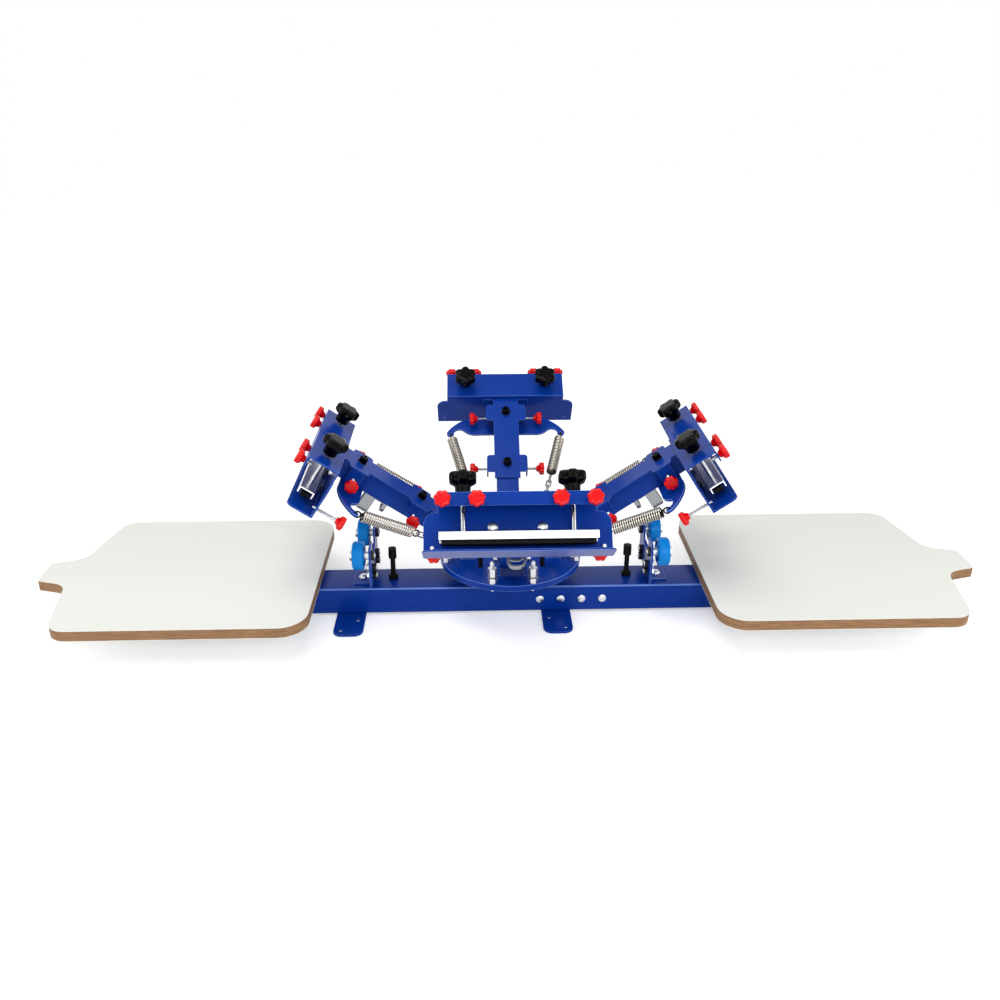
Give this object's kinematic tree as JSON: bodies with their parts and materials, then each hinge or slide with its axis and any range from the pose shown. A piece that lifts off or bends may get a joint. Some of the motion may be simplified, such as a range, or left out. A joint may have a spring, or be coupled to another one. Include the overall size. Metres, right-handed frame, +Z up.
{
  "type": "tabletop screen printing press",
  "caption": "Tabletop screen printing press: sprung screen arms on a turning hub, each with a frame clamp and side adjusters, lowered between roller gates onto fixed boards.",
  "frame": {"origin": "on the hub's axis in the plane of the table, midway between the end feet", "axes": "+Z up; +X along the beam towards its bolted extension; +Y away from the operator"},
  "size_m": [1.854, 0.7938, 0.4246],
  "materials": {
    "blue_powder_coat": "gloss royal blue powder coat",
    "red_knob": "glossy red moulded plastic",
    "black_knob": "glossy black moulded plastic",
    "bright_steel": "bright plated steel",
    "spring_steel": "bright drawn spring steel",
    "azure_roller": "azure blue moulded plastic",
    "white_laminate": "satin white laminate on a brown fibre core",
    "pale_bar": "pale satin aluminium",
    "black_rubber": "black rubber"
  },
  "bodies": {
    "base": {"main_beam": "blue_powder_coat", "extension_beam": "blue_powder_coat", "splice_bolts": "bright_steel", "foot_plates": "blue_powder_coat", "bearing_pedestal": "blue_powder_coat", "king_bolt": "bright_steel", "gate_posts": "blue_powder_coat", "roller_plates": "blue_powder_coat", "gate_bolts": "bright_steel", "arm_rests": "black_rubber", "platen_left": "white_laminate", "platen_right": "white_laminate", "platen_brackets": "blue_powder_coat"},
    "carousel": {"carousel_disc": "blue_powder_coat", "pivot_pins": "bright_steel", "disc_studs": "bright_steel"},
    "roller_left_front": {"roller_left_front": "azure_roller"},
    "roller_right_front": {"roller_right_front": "azure_roller"},
    "roller_left_rear": {"roller_left_rear": "azure_roller"},
    "roller_right_rear": {"roller_right_rear": "azure_roller"},
    "right_arm": {"right_arm_tube": "blue_powder_coat", "right_horn_bracket": "blue_powder_coat", "right_guide_tongue": "bright_steel", "right_lift_springs": "spring_steel", "right_adjust_screws": "red_knob"},
    "right_head": {"right_carrier_cover": "blue_powder_coat", "right_head_channel": "blue_powder_coat", "right_frame_screws": "red_knob"},
    "right_clamp": {"right_clamp_bar": "pale_bar", "right_clamp_knobs": "black_knob"},
    "rear_arm": {"rear_arm_tube": "blue_powder_coat", "rear_horn_bracket": "blue_powder_coat", "rear_guide_tongue": "bright_steel", "rear_lift_springs": "spring_steel", "rear_adjust_screws": "red_knob"},
    "rear_head": {"rear_carrier_cover": "blue_powder_coat", "rear_head_channel": "blue_powder_coat", "rear_frame_screws": "red_knob"},
    "rear_clamp": {"rear_clamp_bar": "pale_bar", "rear_clamp_knobs": "black_knob"},
    "left_arm": {"left_arm_tube": "blue_powder_coat", "left_horn_bracket": "blue_powder_coat", "left_guide_tongue": "bright_steel", "left_lift_springs": "spring_steel", "left_adjust_screws": "red_knob"},
    "left_head": {"left_carrier_cover": "blue_powder_coat", "left_head_channel": "blue_powder_coat", "left_frame_screws": "red_knob"},
    "left_clamp": {"left_clamp_bar": "pale_bar", "left_clamp_knobs": "black_knob"},
    "front_arm": {"front_arm_tube": "blue_powder_coat", "front_horn_bracket": "blue_powder_coat", "front_guide_tongue": "bright_steel", "front_lift_springs": "spring_steel", "front_adjust_screws": "red_knob"},
    "front_head": {"front_carrier_cover": "blue_powder_coat", "front_head_channel": "blue_powder_coat", "front_frame_screws": "red_knob"},
    "front_clamp": {"front_clamp_bar": "pale_bar", "front_clamp_knobs": "black_knob"}
  },
  "joints": [
    {"name": "carousel_spin", "type": "hinge", "parent": "base", "child": "carousel", "pos_m": [0, 0, 0.11], "axis": [0, 0, 1], "continuous": true},
    {"name": "roller_left_front_spin", "type": "hinge", "parent": "base", "child": "roller_left_front", "pos_m": [-0.295, -0.0514, 0.139], "axis": [1, 0, 0], "continuous": true},
    {"name": "roller_right_front_spin", "type": "hinge", "parent": "base", "child": "roller_right_front", "pos_m": [0.295, -0.0514, 0.139], "axis": [1, 0, 0], "continuous": true},
    {"name": "roller_left_rear_spin", "type": "hinge", "parent": "base", "child": "roller_left_rear", "pos_m": [-0.295, 0.0514, 0.139], "axis": [1, 0, 0], "continuous": true},
    {"name": "roller_right_rear_spin", "type": "hinge", "parent": "base", "child": "roller_right_rear", "pos_m": [0.295, 0.0514, 0.139], "axis": [1, 0, 0], "continuous": true},
    {"name": "right_arm_lift", "type": "hinge", "parent": "carousel", "child": "right_arm", "pos_m": [0.084, 0, 0.149], "axis": [0, -1, 0], "range_deg": [-34.5, 0], "stiffness_Nm_per_rad": 10, "springref_deg": 91.67, "deforming": ["right_lift_springs"]},
    {"name": "right_head_shift", "type": "slide", "parent": "right_arm", "child": "right_head", "axis": [0, 1, 0], "range_m": [-0.006, 0.006]},
    {"name": "right_clamp_lift", "type": "slide", "parent": "right_head", "child": "right_clamp", "axis": [-0.5664, 0, 0.8241], "range_m": [-0.005, 0.025]},
    {"name": "rear_arm_lift", "type": "hinge", "parent": "carousel", "child": "rear_arm", "pos_m": [0, 0.084, 0.149], "axis": [1, 0, 0], "range_deg": [-34.5, 0], "stiffness_Nm_per_rad": 10, "springref_deg": 91.67, "deforming": ["rear_lift_springs"]},
    {"name": "rear_head_shift", "type": "slide", "parent": "rear_arm", "child": "rear_head", "axis": [-1, 0, 0], "range_m": [-0.006, 0.006]},
    {"name": "rear_clamp_lift", "type": "slide", "parent": "rear_head", "child": "rear_clamp", "axis": [0, -0.5664, 0.8241], "range_m": [-0.005, 0.025]},
    {"name": "left_arm_lift", "type": "hinge", "parent": "carousel", "child": "left_arm", "pos_m": [-0.084, 0, 0.149], "axis": [0, 1, 0], "range_deg": [-34.5, 0], "stiffness_Nm_per_rad": 10, "springref_deg": 91.67, "deforming": ["left_lift_springs"]},
    {"name": "left_head_shift", "type": "slide", "parent": "left_arm", "child": "left_head", "axis": [0, -1, 0], "range_m": [-0.006, 0.006]},
    {"name": "left_clamp_lift", "type": "slide", "parent": "left_head", "child": "left_clamp", "axis": [0.5664, 0, 0.8241], "range_m": [-0.005, 0.025]},
    {"name": "front_arm_lift", "type": "hinge", "parent": "carousel", "child": "front_arm", "pos_m": [0, -0.084, 0.149], "axis": [-1, 0, 0], "range_deg": [-39, 0], "stiffness_Nm_per_rad": 10, "springref_deg": 91.67, "deforming": ["front_lift_springs"]},
    {"name": "front_head_shift", "type": "slide", "parent": "front_arm", "child": "front_head", "axis": [1, 0, 0], "range_m": [-0.006, 0.006]},
    {"name": "front_clamp_lift", "type": "slide", "parent": "front_head", "child": "front_clamp", "axis": [0, 0.6293, 0.7771], "range_m": [-0.005, 0.025]}
  ]
}
